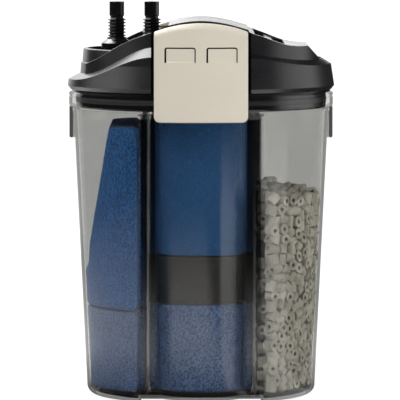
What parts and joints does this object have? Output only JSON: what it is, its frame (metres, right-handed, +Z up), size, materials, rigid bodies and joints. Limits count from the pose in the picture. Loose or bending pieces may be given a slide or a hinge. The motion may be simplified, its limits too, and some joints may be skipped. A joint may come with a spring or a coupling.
{
  "type": "canister filter",
  "caption": "Round external aquarium filter: see-through media tub with foams and ceramic rings under a black pump head, held by two beige clips, with hose connectors on top.",
  "frame": {"origin": "centre of the foot's underside, on the tub's axis", "axes": "+Z up along the tub's axis, -Y to the front clip, +X to the right seen from the front"},
  "size_m": [0.2262, 0.236, 0.3328],
  "materials": {
    "tub": "smoky translucent, glossy",
    "inner_plastic": "moulded, matt",
    "clear_plastic": "smoky translucent",
    "blue_foam": "open-cell foam",
    "grey_foam": "open-cell foam",
    "carbon": "netted granules",
    "ceramic": "loose ceramic rings",
    "lid_black": "moulded, semi-gloss",
    "pump_black": "moulded, matt",
    "seal_rubber": "smooth rubber",
    "gland_rubber": "smooth rubber",
    "screw_steel": "stainless",
    "shaft_ceramic": "ground ceramic",
    "impeller_plastic": "moulded",
    "magnet": "sintered",
    "core_steel": "stacked sheets",
    "bobbin_plastic": "moulded",
    "copper": "enamelled wire",
    "connector_black": "moulded, glossy",
    "clip_beige": "moulded, satin"
  },
  "bodies": {
    "canister": {"canister": "tub", "base_grid": "inner_plastic", "left_partition": "clear_plastic", "right_partition": "clear_plastic", "left_upper_foam": "blue_foam", "left_lower_foam": "grey_foam", "centre_upper_foam": "blue_foam", "centre_lower_foam": "grey_foam", "carbon_cartridge": "carbon", "ceramic_rings": "ceramic"},
    "lid": {"lid_cover": "lid_black", "lid_base": "pump_black", "lid_gasket": "seal_rubber", "lid_screws": "screw_steel", "impeller_cover": "pump_black", "bottom_bushing": "seal_rubber", "top_bushing": "seal_rubber", "ceramic_shaft": "shaft_ceramic", "stator_core": "core_steel", "coil_bobbins": "bobbin_plastic", "coils": "copper", "motor_cover": "pump_black", "cable_gland": "gland_rubber", "front_hinge_pin": "screw_steel", "rear_hinge_pin": "screw_steel"},
    "impeller": {"impeller": "impeller_plastic", "rotor_magnet": "magnet"},
    "front_clip": {"front_clip": "clip_beige"},
    "rear_clip": {"rear_clip": "clip_beige"},
    "inlet_connector": {"inlet_connector": "connector_black", "inlet_seal": "seal_rubber"},
    "outlet_connector": {"outlet_connector": "connector_black", "outlet_seal": "seal_rubber"}
  },
  "joints": [
    {"name": "lid_lift", "type": "slide", "parent": "canister", "child": "lid", "axis": [0, 0, 1], "range_m": [0, 0.05]},
    {"name": "front_clip_swing", "type": "hinge", "parent": "lid", "child": "front_clip", "pos_m": [0, -0.091, 0.308], "axis": [-1, 0, 0], "range_deg": [0, 90]},
    {"name": "rear_clip_swing", "type": "hinge", "parent": "lid", "child": "rear_clip", "pos_m": [0, 0.091, 0.308], "axis": [1, 0, 0], "range_deg": [0, 90]},
    {"name": "inlet_swivel", "type": "hinge", "parent": "lid", "child": "inlet_connector", "pos_m": [-0.0714, 0, 0.27], "axis": [0, 0, 1], "continuous": true},
    {"name": "outlet_swivel", "type": "hinge", "parent": "lid", "child": "outlet_connector", "pos_m": [-0.0418, 0, 0.27], "axis": [0, 0, 1], "continuous": true},
    {"name": "impeller_spin", "type": "hinge", "parent": "lid", "child": "impeller", "pos_m": [0.008, 0, 0.255], "axis": [0, 0, 1], "continuous": true}
  ],
  "couplings": [
    {"joint": "front_clip_swing", "follows": "lid_lift", "rad_per_m": 31.4},
    {"joint": "rear_clip_swing", "follows": "lid_lift", "rad_per_m": 31.4}
  ]
}
